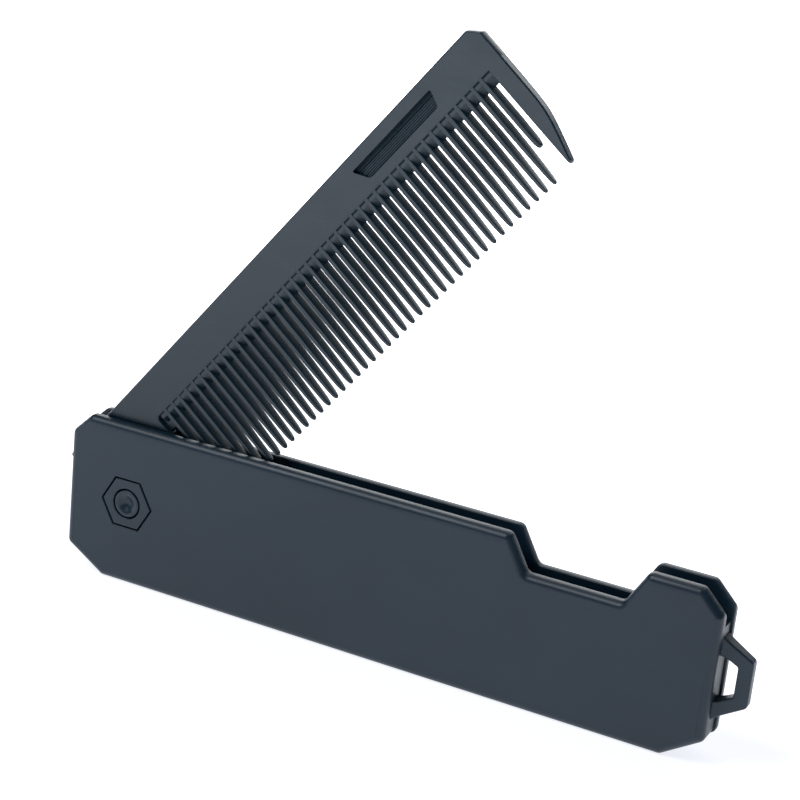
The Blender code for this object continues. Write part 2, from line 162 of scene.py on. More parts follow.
# Fine teeth: wedges, wider at the back, that taper below one line and thin below another
TOOTH_COUNT = 43
TOOTH_PITCH = 2.041
FIRST_TOOTH = 17.62
TOOTH_HALF_FRONT = 0.36
TOOTH_HALF_BACK = 0.66
TAPER_LINE = 1.3
FRONT_TAPER = 0.009
BACK_TAPER = 0.036
THINNING_LINE = 5.0
THINNING = 0.045
THINNING_SHIFT = 0.6
TOOTH_BACK_ROUND = 0.35
SHORT_TIP_LINE = 6.8
TIP_ROUNDING = 2.5
TIP_ROUNDING_POWER = 3.0
TOOTH_SINK = 0.8
TOOTH_SPANS = 14
TOOTH_EDGE = 0.08
TOOTH_SET_BACK = 0.035
TIP_RUN = 0.5
TIP_STEPS = 12
TIP_SPACING_POWER = 1.5
TIP_END = 0.01
EDGE_TO_WIDTH = 0.6
EDGE_TO_DEPTH = 0.4

# Webs between the roots and beside the heel
WEB_END = -5.15
WEB_FRONT_END = -6.5
WEB_UNDERSIDE = 0.1
WEB_ROUND = 0.4
WEB_SET_BACK = 0.1
WEB_STEPS = 8
GROOVE_DEPTH = 0.14
GROOVE_WIDTH = 0.25
GROOVE_ROUND = 0.1
HEEL_WEB_END = -3.9
HEEL_WEB_FRONT = -0.25
HEEL_WEB_ROUND = 0.3

# Guard tooth
GUARD_INNER = 105.3
GUARD_BEND = 3.3
GUARD_TIP_LINE = 11.9
GUARD_TIP = 105.8
GUARD_TOP = ROOT_LINE - 2 * COMB_CORNER
GUARD_SET_BACK = 0.004
GUARD_BEND_RUN = 2.2
GUARD_THINNING = 0.2
GUARD_TIP_RUN = 0.65
GUARD_EDGE_TO_WIDTH = 0.42
GUARD_EDGE_TO_DEPTH = 0.8

# Nail nick: the ribs' places are shares of the way from its top to its bottom
NICK_TOP = -12.15
NICK_BOTTOM = -9.2
NICK_TOP_ENDS = (76.0, 95.9)
NICK_BOTTOM_ENDS = (77.9, 95.0)
NICK_CORNER = 0.5
NICK_DEEP = 1.0
NICK_SHALLOW = 0.4
NICK_ROWS = 60
RIB_PLACES = (0.36, 0.62, 0.88)
RIB_HALF = 0.12
RIB_HEIGHT = 0.32

# Camera: AIM is the point that it looks at
AIM = (2.66, -3.8, 47.754)
CAMERA_AZIMUTH = 25.245
CAMERA_ELEVATION = 18.740
CAMERA_ROLL = 6.017
CAMERA_DISTANCE = 325.782
CAMERA_LENS = 90.0
CAMERA_CLIP = 10.0

# Light, in metres and watts: name, place, target, width, height, power and colour
WORLD_COLOUR = (0.9, 0.96, 1.0)
WORLD_STRENGTH = 0.05
SOFTBOXES = [
    ("top_box", (0.1, 0.5, 1.1), (0.0, 0.0, 0.0), 1.2, 0.8, 3.0, (1.0, 1.0, 1.0)),
    ("back_box", (-0.4, 1.6, 0.5), (0.0, 0.0, 0.05), 1.7, 0.8, 12.0, (0.95, 0.98, 1.0)),
    ("front_top_box", (-0.4, -0.42, 0.81), (0.0, 0.0, 0.05), 0.5, 0.5, 5.0, (0.92, 0.96, 1.0)),
]

# Noises: scale, detail, roughness and stretch. Their middle values are spread to a range
NOISE_LOW = 0.3
NOISE_HIGH = 0.7

# Floor, in metres. It glows, and the glow is painted light. It is dimmer near the object, as a
# painted shadow, and stronger with distance (NEAR and FAR are a distance and a strength). It is
# also stronger behind the object, as a painted pool of back light (where that starts and ends,
# and its gain)
FLOOR_HALF = 4.0
FLOOR_CELLS = 12
FLOOR_DARK = (0.44, 0.445, 0.455)
FLOOR_LIGHT = (0.46, 0.465, 0.475)
FLOOR_ROUGH = 0.9
FLOOR_SPECULAR = 0.1
FLOOR_MOTTLE = (8.0, 3.0)
FLOOR_GRAIN = (900.0, 2.0)
FLOOR_BUMP = (0.05, 0.0001)
FLOOR_PAINTED_GLOW_TINT = (1.0, 1.02, 1.08)
FLOOR_PAINTED_GLOW_NEAR = (0.1, 0.81)
FLOOR_PAINTED_GLOW_FAR = (0.5, 1.9)
FLOOR_PAINTED_BACKLIGHT = (0.01, 0.06, 1.7)

# Plastic: darker and lighter tone, roughness and index of refraction
HANDLE_LOOK = ((0.004, 0.017, 0.032), (0.007, 0.023, 0.041), 0.4, 1.48)
PIN_LOOK = ((0.004, 0.017, 0.032), (0.007, 0.023, 0.041), 0.34, 1.48)
COMB_LOOK = ((0.004, 0.017, 0.028), (0.007, 0.022, 0.035), 0.3, 1.5)
CLOUDS = (45.0, 4.0)
GRAIN = (5200.0, 2.0, 0.6)
GRAIN_BUMP = (0.16, 0.00002)
GRAIN_SHIFT = 0.03
SMEARS = (90.0, 5.0, 0.6, (1.0, 1.0, 3.0))
SMEAR_SHIFT = 0.035
HAIRS = (260.0, 3.0, 0.7, (0.25, 6.0, 9.0))
HAIR_SHIFT = 0.02


def handle_point(along, depth, up):
    return Vector(((LEFT + along) * MM, (FRONT + depth) * MM, up * MM))


def comb_point(along, depth, down):
    turn = math.radians(OPENING_ANGLE)
    x = PIVOT_ALONG + along * math.cos(turn) + down * math.sin(turn)
    z = PIVOT_UP + along * math.sin(turn) - down * math.cos(turn)
    return handle_point(x, COMB_MIDDLE + depth, z)


def corner_points(before, corner, after, inset, steps):
    """Points round one corner of an outline moved inward by the inset."""
    way_in = (Vector(corner[:2]) - Vector(before[:2])).normalized()
    way_out = (Vector(after[:2]) - Vector(corner[:2])).normalized()
    side_in = Vector((-way_in.y, way_in.x))
    side_out = Vector((-way_out.y, way_out.x))
    tip = Vector(corner[:2]) + (side_in + side_out) * inset / (1 + side_in.dot(side_out))
    if not corner[2]:
        return [tip]
    turn = math.atan2(way_in.x * way_out.y - way_in.y * way_out.x, way_in.dot(way_out))
    bend = math.copysign(1.0, turn)
    radius = corner[2] - bend * inset
    run = radius * math.tan(abs(turn) / 2)
    centre = tip - run * way_in + bend * radius * side_in
    spoke = -bend * radius * side_in
    points = []
    for step in range(steps + 1):
        points.append(centre + Matrix.Rotation(turn * step / steps, 2) @ spoke)
    return points


def rounded_outline(corners, inset=0.0, steps=CORNER_STEPS):
    """Closed outline, anticlockwise, with each corner (x, y, radius) rounded."""
    points = []
    for index, corner in enumerate(corners):
        after = corners[(index + 1) % len(corners)]
        points += corner_points(corners[index - 1], corner, after, inset, steps)
    return points


def strip(bm, first, second, closed=True):
    """Quads between two rows with the same number of corners."""
    count = len(first)
    for index in range(count if closed else count - 1):
        after = (index + 1) % count
        bm.faces.new((first[index], first[after], second[after], second[index]))


def strips(bm, rings, closed=True):
    for first, second in zip(rings, rings[1:]):
        strip(bm, first, second, closed)


def fill(bm, *loops):
    """Flat face bounded by the first loop, with the other loops as holes."""
    edges = []
    for loop in loops:
        for index, vert in enumerate(loop):
            pair = (loop[index - 1], vert)
            edges.append(bm.edges.get(pair) or bm.edges.new(pair))
    bmesh.ops.triangle_fill(bm, edges=edges, use_beauty=True, use_dissolve=False)


def tube(bm, rings):
    """Closed shape through the rings, with flat ends."""
    strips(bm, rings)
    bm.faces.new(rings[0])
    bm.faces.new(rings[-1])


def quarter(radius, steps):
    """Inset and depth round an outer edge, from the flat face to the straight side."""
    pairs = []
    for step in range(steps + 1):
        turn = math.pi / 2 * step / steps
        pairs.append((radius * (1 - math.sin(turn)), radius * (1 - math.cos(turn))))
    return pairs


def make_object(bm, name):
    bmesh.ops.recalc_face_normals(bm, faces=bm.faces)
    mesh = bpy.data.meshes.new(name)
    bm.to_mesh(mesh)
    bm.free()
    item = bpy.data.objects.new(name, mesh)
    bpy.context.scene.collection.objects.link(item)
    return item


def combine(item, other, operation):
    """Join or cut with another closed shape, and drop that shape."""
    modifier = item.modifiers.new(operation, "BOOLEAN")
    modifier.operation = operation
    modifier.solver = "MANIFOLD"
    modifier.object = other
    bpy.context.view_layer.update()
    graph = bpy.context.evaluated_depsgraph_get()
    mesh = bpy.data.meshes.new_from_object(item.evaluated_get(graph))
    item.modifiers.clear()
    item.data = mesh
    bpy.data.objects.remove(other)


def dress(item, name, body, node, material):
    """Shade a finished piece and let it stand for its node."""
    item.name = name
    item.data.materials.clear()
    item.data.materials.append(material)
    item.data.shade_smooth()
    item.data.set_sharp_from_angle(angle=SMOOTH_ANGLE)
    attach(item, body)
    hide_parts(node)


def wall_corners(length):
    """Stretch of the handle's outline that has a wall behind it."""
    return [
        (BOTTOM_WALL_START, 0.0, 0.0),
        (length - LOOP_END_LOW_RUN, 0.0, CORNER_ROUND),
        (length, LOOP_END_LOW_RISE, CORNER_ROUND),
        (length, END_WALL_TOP, 0.0),
    ]


def open_corners(length):
    """Rest of the outline, with the notch, where the slot is open."""
    slope = NOTCH_DEPTH / math.tan(math.radians(NOTCH_ANGLE))
    floor = HEIGHT - NOTCH_DEPTH
    return [
        (length, HEIGHT - LOOP_END_TOP, CORNER_ROUND),
        (length - LOOP_END_TOP, HEIGHT, CORNER_ROUND),
        (NOTCH_END, HEIGHT, CORNER_ROUND),
        (NOTCH_END - slope, floor, CORNER_ROUND),
        (NOTCH_START + slope, floor, CORNER_ROUND),
        (NOTCH_START, HEIGHT, CORNER_ROUND),
        (PIN_END_TOP, HEIGHT, CORNER_ROUND),
        (0.0, HEIGHT - PIN_END_TOP, CORNER_ROUND),
        (0.0, PIN_END_LOW_RISE, CORNER_ROUND),
        (PIN_END_LOW_RUN, 0.0, CORNER_ROUND),
    ]


def handle_ring(bm, inset, depth, length=LENGTH):
    outline = rounded_outline(wall_corners(length) + open_corners(length), inset)
    return [bm.verts.new(handle_point(p.x, depth, p.y)) for p in outline]


def handle_rings(bm, pairs, face_depth, inward, length=LENGTH):
    return [
        handle_ring(bm, inset, face_depth + inward * depth, length) for inset, depth in pairs]


def pivot_ring(bm, radius, depth):
    """Circle on the pin's axis."""
    ring = []
    for index in range(CIRCLE_STEPS):
        angle = 2 * math.pi * index / CIRCLE_STEPS
        along = PIVOT_ALONG + radius * math.cos(angle)
        up = PIVOT_UP + radius * math.sin(angle)
        ring.append(bm.verts.new(handle_point(along, depth, up)))
    return ring


def hexagon_ring(bm, across_flats, outset, depth):
    """Hexagon with softened corners round the pin's axis."""
    radius = across_flats / math.sqrt(3)
    corners = []
    for index in range(6):
        angle = math.pi / 3 * index
        along = PIVOT_ALONG + radius * math.cos(angle)
        up = PIVOT_UP + radius * math.sin(angle)
        corners.append((along, up, NUT_CORNER))
    outline = rounded_outline(corners, -outset, EDGE_STEPS)
    return [bm.verts.new(handle_point(p.x, depth, p.y)) for p in outline]


def inner_wall():
    """Slot's side of the bottom wall and the end wall."""
    slope = LOOP_END_LOW_RISE / LOOP_END_LOW_RUN
    slant_start = LENGTH - LOOP_END_LOW_RUN + SLANT_LEAD
    inner_end = LENGTH - END_WALL
    return [
        (BOTTOM_WALL_START, BOTTOM_WALL),
        (slant_start, BOTTOM_WALL),
        (inner_end, BOTTOM_WALL + (inner_end - slant_start) * slope),
        (inner_end, END_WALL_TOP),
    ]


def build_shell_mesh():
    """Front plate, its walls, the nut's recess and the pin's bore."""
    bm = bmesh.new()
    wall_back = BACK_START - SEAM
    outer = [(OUTER_ROUND + HOLD, 0.0)] + quarter(OUTER_ROUND, OUTER_STEPS)
    rings = handle_rings(bm, outer, 0.0, 1)
    rings += [handle_ring(bm, 0.0, FRONT_PLATE - INNER_ROUND)]
    strips(bm, rings)

    # The open stretch ends in a small inner round, and the wall runs on to the seam.
    # The wall's stretch has two rounded corners between its first and its last point
    wall_top = 2 * (CORNER_STEPS + 1) + 1
    inner = [(INNER_ROUND + HOLD, 0.0)] + quarter(INNER_ROUND, EDGE_STEPS)[:-1]
    open_rings = [rings[-1]] + handle_rings(bm, inner[::-1], FRONT_PLATE, -1)
    open_rows = [ring[wall_top:] + ring[:1] for ring in open_rings]
    strips(bm, open_rows, False)
    seam = [(SEAM_ROUND + HOLD, 0.0)] + quarter(SEAM_ROUND, EDGE_STEPS)
    wall_rings = [rings[-1]] + handle_rings(bm, seam[::-1], wall_back, -1)
    wall_rows = [ring[:wall_top + 1] for ring in wall_rings]
    strips(bm, wall_rows, False)
    near = [bm.verts.new(handle_point(x, FRONT_PLATE, z)) for x, z in inner_wall()]
    far = [bm.verts.new(handle_point(x, wall_back, z)) for x, z in inner_wall()]
    strip(bm, near, far, False)
    fill(bm, wall_rows[-1] + far[::-1])
    for row, end, start in ((-1, -1, 0), (0, 0, -1)):
        edge = [line[start] for line in open_rows]
        back = [line[row] for line in wall_rows]
        bm.faces.new(edge + [near[end], far[end]] + back[:0:-1])

    # Recess for the nut, with a bore through to the slot
    recess = NUT_FLATS + 2 * FIT_GAP
    lip = [(LIP + HOLD, 0.0)] + quarter(LIP, EDGE_STEPS)
    hexagons = [hexagon_ring(bm, recess, inset, depth) for inset, depth in lip]
    floor = NUT_THICKNESS + FIT_GAP
    hexagons.append(hexagon_ring(bm, recess, 0.0, floor))
    strips(bm, hexagons)
    bore = PIN_RADIUS + FIT_GAP
    floor_ring = pivot_ring(bm, bore, floor)
    slot_ring = pivot_ring(bm, bore, FRONT_PLATE)
    strip(bm, floor_ring, slot_ring)
    fill(bm, rings[0], hexagons[0])
    fill(bm, hexagons[-1], floor_ring)
    fill(bm, open_rows[-1] + near, slot_ring)

    # Corners of the rings that no face took
    loose = [vert for vert in bm.verts if not vert.link_faces]
    bmesh.ops.delete(bm, geom=loose, context="VERTS")
    return make_object(bm, "front_shell_mesh")


def loop_outline(reach, root_half, tip_half, radius, flare):
    """One side of the loop, from below to above, with even spans between its corners."""
    start = root_half + LOOP_SINK * (root_half - tip_half) / reach
    corners = rounded_outline([
        (LENGTH - LOOP_SINK, LOOP_CENTRE - start, 0.0),
        (LENGTH + reach, LOOP_CENTRE - tip_half, radius),
        (LENGTH + reach, LOOP_CENTRE + tip_half, radius),
        (LENGTH - LOOP_SINK, LOOP_CENTRE + start, 0.0),
    ])
    points = []
    for index, (point, after) in enumerate(zip(corners, corners[1:])):
        spans = LOOP_SPANS if index % (CORNER_STEPS + 1) == 0 else 1
        points += [point.lerp(after, span / spans) for span in range(spans)]
    points.append(corners[-1])
    for point in points:
        side = math.copysign(1.0, point.y - LOOP_CENTRE)
        beyond = max(0.0, point.x - LENGTH)
        point.y += side * flare * math.exp(-beyond / LOOP_FLARE_RUN)
    return points


def loop_depths(along):
    """Front and back of the loop, which thins towards its free edge."""
    part = (along - LENGTH) / LOOP_REACH
    beyond = max(0.0, along - LENGTH)
    flare = LOOP_FLARE * math.exp(-beyond / LOOP_FLARE_RUN)
    front = LOOP_ROOT_DEPTHS[0] + part * (LOOP_TIP_DEPTHS[0] - LOOP_ROOT_DEPTHS[0]) - flare
    back = LOOP_ROOT_DEPTHS[1] + part * (LOOP_TIP_DEPTHS[1] - LOOP_ROOT_DEPTHS[1])
    return front, back


def rounded_section(width, height, radius):
    """Rounded rectangle from (0, 0) to (width, height), with a point just past each round."""
    points = []
    for corner in range(4):
        turn = math.pi / 2 * corner
        centre = (
            radius if corner in (0, 3) else width - radius,
            radius if corner in (0, 1) else height - radius,
        )
        arc = []
        for step in range(EDGE_STEPS + 1):
            angle = math.pi + turn + math.pi / 2 * step / EDGE_STEPS
            arc.append((
                centre[0] + radius * math.cos(angle), centre[1] + radius * math.sin(angle)))
        before = (arc[0][0] - HOLD / 2 * math.sin(turn), arc[0][1] + HOLD / 2 * math.cos(turn))
        after = (arc[-1][0] + HOLD / 2 * math.cos(turn), arc[-1][1] + HOLD / 2 * math.sin(turn))
        points += [before] + arc + [after]
    return points


def build_loop_mesh():
    bm = bmesh.new()
    outer = loop_outline(LOOP_REACH, LOOP_ROOT_HALF, LOOP_TIP_HALF, LOOP_ROUND, LOOP_FLARE)
    inner = loop_outline(HOLE_REACH, HOLE_ROOT_HALF, HOLE_TIP_HALF, HOLE_ROUND, -LOOP_FLARE)
    rings = []
    for out, hole in zip(outer, inner):
        width = (hole - out).length
        front, back = loop_depths((out.x + hole.x) / 2)
        height = back - front
        ring = []
        for across, through in rounded_section(width, height, LOOP_EDGE):
            place = out.lerp(hole, across / width)
            near, far = loop_depths(place.x)
            ring.append(bm.verts.new(
                handle_point(place.x, near + (far - near) * through / height, place.y)))
        rings.append(ring)
    tube(bm, rings)
    return make_object(bm, "loop_mesh")


def build_front_shell(material):
    shell = build_shell_mesh()
    combine(shell, build_loop_mesh(), "UNION")
    dress(shell, "front_shell_fine", "handle", "front_shell", material)


def build_back_plate(material):
    bm = bmesh.new()
    outer = [(OUTER_ROUND + HOLD, 0.0)] + quarter(OUTER_ROUND, OUTER_STEPS)
    inner = [(INNER_ROUND + HOLD, 0.0)] + quarter(INNER_ROUND, EDGE_STEPS)
    rings = handle_rings(bm, outer, THICKNESS, -1, BACK_LENGTH)
    rings += handle_rings(bm, inner[::-1], BACK_START, 1, BACK_LENGTH)
    strips(bm, rings)
    bore = PIN_RADIUS + FIT_GAP
    mouth = pivot_ring(bm, bore, BACK_START)
    end = pivot_ring(bm, bore, PIN_END + FIT_GAP)
    strip(bm, mouth, end)
    bm.faces.new(end)
    fill(bm, rings[0])
    fill(bm, rings[-1], mouth)
    plate = make_object(bm, "back_plate_mesh")
    dress(plate, "back_plate_fine", "handle", "back_plate", material)


def build_hex_nut(material):
    bm = bmesh.new()
    lip = [(LIP + HOLD, 0.0)] + quarter(LIP, EDGE_STEPS)
    hexagons = [hexagon_ring(bm, NUT_FLATS, -inset, depth) for inset, depth in lip]
    hexagons.append(hexagon_ring(bm, NUT_FLATS, 0.0, NUT_THICKNESS))
    strips(bm, hexagons)
    bore = PIN_RADIUS + FIT_GAP
    circles = [pivot_ring(bm, bore + inset, depth) for inset, depth in lip]
    circles.append(pivot_ring(bm, bore, NUT_THICKNESS))
    strips(bm, circles)
    fill(bm, hexagons[0], circles[0])
    fill(bm, hexagons[-1], circles[-1])
    nut = make_object(bm, "hex_nut_mesh")
    dress(nut, "hex_nut_fine", "handle", "hex_nut", material)


def pin_profile():
    """Radius and depth from beside the dish's middle to the far end."""
    profile = []
    for step in range(1, DISH_STEPS + 1):
        part = step / DISH_STEPS
        fall = math.cos(math.pi / 2 * part) ** DISH_POWER
        profile.append((DISH_RADIUS * part, DISH_DEPTH * fall))
    for inset, depth in quarter(PIN_EDGE, EDGE_STEPS):
        profile.append((PIN_RADIUS - inset, depth))
    profile.append((PIN_RADIUS, PIN_END - PIN_EDGE))
    profile.append((PIN_RADIUS - PIN_EDGE, PIN_END))
    return profile


def build_pivot_pin(material):
    bm = bmesh.new()
    rings = [pivot_ring(bm, radius, depth) for radius, depth in pin_profile()]
    middle = bm.verts.new(handle_point(PIVOT_ALONG, DISH_DEPTH, PIVOT_UP))
    for index, vert in enumerate(rings[0]):
        bm.faces.new((middle, rings[0][index - 1], vert))
    strips(bm, rings)
    bm.faces.new(rings[-1])
    pin = make_object(bm, "pivot_pin_mesh")
    dress(pin, "pivot_pin_fine", "handle", "pivot_pin", material)


def tooth_depth(level, tip):
    """Middle and half of a fine tooth's depth, which thins and rounds off at its tip."""
    thinning = THINNING * max(0.0, level - THINNING_LINE)
    end = max(0.0, 1 - (tip - level) / TIP_ROUNDING)
    half = (COMB_HALF - TOOTH_SET_BACK - thinning) * math.sqrt(1 - end ** TIP_ROUNDING_POWER)
    return -THINNING_SHIFT * thinning, half


def half_widths(level, tip):
    """Half a fine tooth's width at its front and at its back."""
    taper = max(0.0, level - TAPER_LINE)
    end = max(0.0, 1 - (tip - level) / TIP_RUN)
    trim = math.sqrt(1 - end ** 2)
    front = TOOTH_HALF_FRONT - FRONT_TAPER * taper
    return front * trim, (TOOTH_HALF_BACK - BACK_TAPER * taper) * trim


def slab_corners():
    """Outline of the spine with its tang and heel, down to the root line."""
    reach = math.hypot(HEEL, HEEL_LINE)
    start = math.atan2(HEEL_LINE, HEEL) + math.acos(TANG_RADIUS / reach)
    end = 2 * math.pi - math.acos(TANG_END / TANG_RADIUS)
    corners = [(HEEL, ROOT_LINE, COMB_CORNER), (HEEL, HEEL_LINE, HEEL_ROUND)]
    for step in range(TANG_STEPS + 1):
        angle = start + (end - start) * step / TANG_STEPS
        corners.append((TANG_RADIUS * math.cos(angle), TANG_RADIUS * math.sin(angle), 0.0))
    corners += [
        (TANG_END, SPINE, COMB_CORNER),
        (COMB_END - END_CORNER_RUN, SPINE, COMB_CORNER),
        (COMB_END, SPINE + END_CORNER_RISE, COMB_CORNER),
        (COMB_END, ROOT_LINE, COMB_CORNER),
    ]
    return corners


def slab_ring(bm, inset, offset, side):
    outline = rounded_outline(slab_corners(), inset)
    depth = side * (COMB_HALF - offset)
    return [bm.verts.new(comb_point(point.x, depth, point.y)) for point in outline]


def build_slab_mesh():
    """Flat body of the comb."""
    bm = bmesh.new()
    edge = [(COMB_EDGE + HOLD / 2, 0.0)] + quarter(COMB_EDGE, EDGE_STEPS)
    rings = [slab_ring(bm, inset, offset, -1) for inset, offset in edge]
    rings += [slab_ring(bm, inset, offset, 1) for inset, offset in edge[::-1]]
    strips(bm, rings)
    fill(bm, rings[0])
    fill(bm, rings[-1])
    return make_object(bm, "slab_mesh")


def build_bar_mesh(name, corners, ends, steps):
    """Straight bar along the comb, from its section's corners (depth, down, radius)."""
    bm = bmesh.new()
    rings = []
    for along in ends:
        ring = []
        for point in rounded_outline(corners, 0.0, steps):
            ring.append(bm.verts.new(comb_point(along, point.x, point.y)))
        rings.append(ring)
        bm.faces.new(ring)
    strips(bm, rings)
    return make_object(bm, name)


def build_web_mesh():
    """Web between the teeth along their roots, under a shallow groove."""
    half = COMB_HALF - WEB_SET_BACK
    core = half - GROOVE_DEPTH
    corners = [
        (-core, ROOT_LINE - TOOTH_SINK, 0.0),
        (core, ROOT_LINE - TOOTH_SINK, 0.0),
        (core, ROOT_LINE, 0.0),
        (half, ROOT_LINE + GROOVE_WIDTH, GROOVE_ROUND),
        (half, WEB_END, WEB_ROUND),
        (WEB_UNDERSIDE, WEB_END, WEB_ROUND),
        (-half, WEB_FRONT_END, WEB_ROUND),
        (-half, ROOT_LINE + GROOVE_WIDTH, GROOVE_ROUND),
        (-core, ROOT_LINE, 0.0),
    ]
    ends = (HEEL + TOOTH_SINK, GUARD_INNER + TOOTH_SINK)
    return build_bar_mesh("web_mesh", corners, ends, WEB_STEPS)


def build_heel_web_mesh():
    """Web between the heel and the first tooth, set back from the comb's face."""
    back = COMB_HALF - WEB_SET_BACK
    corners = [
        (HEEL_WEB_FRONT, ROOT_LINE, 0.0),
        (back, ROOT_LINE, 0.0),
        (back, HEEL_WEB_END, HEEL_WEB_ROUND),
        (HEEL_WEB_FRONT, HEEL_WEB_END, HEEL_WEB_ROUND),
    ]
    ends = (HEEL - TOOTH_SINK, FIRST_TOOTH)
    return build_bar_mesh("heel_web_mesh", corners, ends, EDGE_STEPS)


def guard_side(level):
    """Outer side of the guard tooth, which slants in below a soft bend."""
    below = level - GUARD_BEND
    part = (below + math.hypot(below, GUARD_BEND_RUN)) / 2 / (GUARD_TIP_LINE - GUARD_BEND)
    return COMB_END - GUARD_SET_BACK + (GUARD_TIP - COMB_END) * part


def tooth_levels(top, tip):
    """Levels down a tooth, closer together where its tip rounds off."""
    base = tip - TIP_ROUNDING
    levels = [top + (base - top) * span / TOOTH_SPANS for span in range(TOOTH_SPANS)]
    for step in range(TIP_STEPS):
        left = math.cos(math.pi / 2 * step / TIP_STEPS) ** TIP_SPACING_POWER
        levels.append(tip - TIP_ROUNDING * left)
    return levels + [tip - TIP_END]


def guard_stations():
    """Level, inner side, outer side and half depth down the guard tooth."""
    stations = []
    for level in tooth_levels(GUARD_TOP, GUARD_TIP_LINE):
        inner, outer = GUARD_INNER, guard_side(level)
        reach = max(0.0, (level - ROOT_LINE) / (TIP_LINE - ROOT_LINE))
        end = max(0.0, 1 - (GUARD_TIP_LINE - level) / GUARD_TIP_RUN)
        round_off = math.sqrt(1 - end ** 2)
        trim = (outer - inner) / 2 * (1 - round_off)
        depth = (COMB_HALF - GUARD_SET_BACK - GUARD_THINNING * reach ** 2) * round_off
        stations.append((level, inner + trim, outer - trim, depth))
    return stations


def build_guard_mesh():
    bm = bmesh.new()
    rings = []
    for level, inner, outer, depth in guard_stations():
        width = outer - inner
        radius = min(COMB_EDGE, GUARD_EDGE_TO_WIDTH * width, GUARD_EDGE_TO_DEPTH * depth)
        section = rounded_section(width, 2 * depth, radius)
        rings.append([
            bm.verts.new(comb_point(inner + across, through - depth, level))
            for across, through in section])
    tube(bm, rings)
    return make_object(bm, "guard_mesh")


def tooth_section(front, back, depth):
    """Wedge that is wider at the back, with its edges rounded."""
    edge = min(TOOTH_EDGE, EDGE_TO_WIDTH * front, EDGE_TO_DEPTH * depth)
    far_edge = min(TOOTH_BACK_ROUND, EDGE_TO_WIDTH * back, EDGE_TO_DEPTH * depth)
    corners = [
        (-front, -depth, edge),
        (front, -depth, edge),
        (back, depth, far_edge),
        (-back, depth, far_edge),
    ]
    return rounded_outline(corners, 0.0, EDGE_STEPS)


def build_teeth_mesh():
    bm = bmesh.new()
    for index in range(TOOTH_COUNT):
        centre = FIRST_TOOTH + TOOTH_PITCH * index
        tip = SHORT_TIP_LINE if index == TOOTH_COUNT - 1 else TIP_LINE
        rings = []
        for level in tooth_levels(ROOT_LINE - TOOTH_SINK, tip):
            middle, half = tooth_depth(level, tip)
            section = tooth_section(*half_widths(level, tip), half)
            rings.append([
                bm.verts.new(comb_point(centre + point.x, middle + point.y, level))
                for point in section])
        tube(bm, rings)
    return make_object(bm, "teeth_mesh")


def nick_ends(part):
    """Where the nick starts and ends at one row, with its corners rounded."""
    height = NICK_BOTTOM - NICK_TOP
    start = NICK_TOP_ENDS[0] + (NICK_BOTTOM_ENDS[0] - NICK_TOP_ENDS[0]) * part
    end = NICK_TOP_ENDS[1] + (NICK_BOTTOM_ENDS[1] - NICK_TOP_ENDS[1]) * part
    near_edge = min(part, 1 - part) * height
    bite = max(0.0, 1 - near_edge / NICK_CORNER)
    trim = NICK_CORNER * (1 - math.sqrt(1 - bite ** 2))
    return start + trim, end - trim


def nick_depth(part):
    """Depth of the ribbed floor, which rises towards the teeth."""
    depth = NICK_DEEP + (NICK_SHALLOW - NICK_DEEP) * part
    for place in RIB_PLACES:
        near = max(0.0, 1 - abs(part - place) / RIB_HALF)
        depth -= RIB_HEIGHT * math.sin(math.pi / 2 * near) ** 2
    return depth


def build_nick_cutter():
    bm = bmesh.new()
    rows = []
    for row in range(NICK_ROWS + 1):
        part = row / NICK_ROWS
        down = NICK_TOP + (NICK_BOTTOM - NICK_TOP) * part
        start, end = nick_ends(part)
        floor = nick_depth(part) - COMB_HALF
        outside = -2 * COMB_HALF
        rows.append([
            bm.verts.new(comb_point(start, outside, down)),
            bm.verts.new(comb_point(end, outside, down)),
            bm.verts.new(comb_point(end, floor, down)),
            bm.verts.new(comb_point(start, floor, down)),
        ])
    tube(bm, rows)
    return make_object(bm, "nick_cutter")


def build_bore_cutter():
    bm = bmesh.new()
    bore = PIN_RADIUS + FIT_GAP
    tube(bm, [pivot_ring(bm, bore, 0.0), pivot_ring(bm, bore, THICKNESS)])
    return make_object(bm, "bore_cutter")


def build_comb(material):
    comb = build_slab_mesh()
    combine(comb, build_nick_cutter(), "DIFFERENCE")
    combine(comb, build_bore_cutter(), "DIFFERENCE")
    combine(comb, build_guard_mesh(), "UNION")
    combine(comb, build_web_mesh(), "UNION")
    combine(comb, build_heel_web_mesh(), "UNION")
    combine(comb, build_teeth_mesh(), "UNION")
    dress(comb, "comb_fine", "comb", "comb", material)


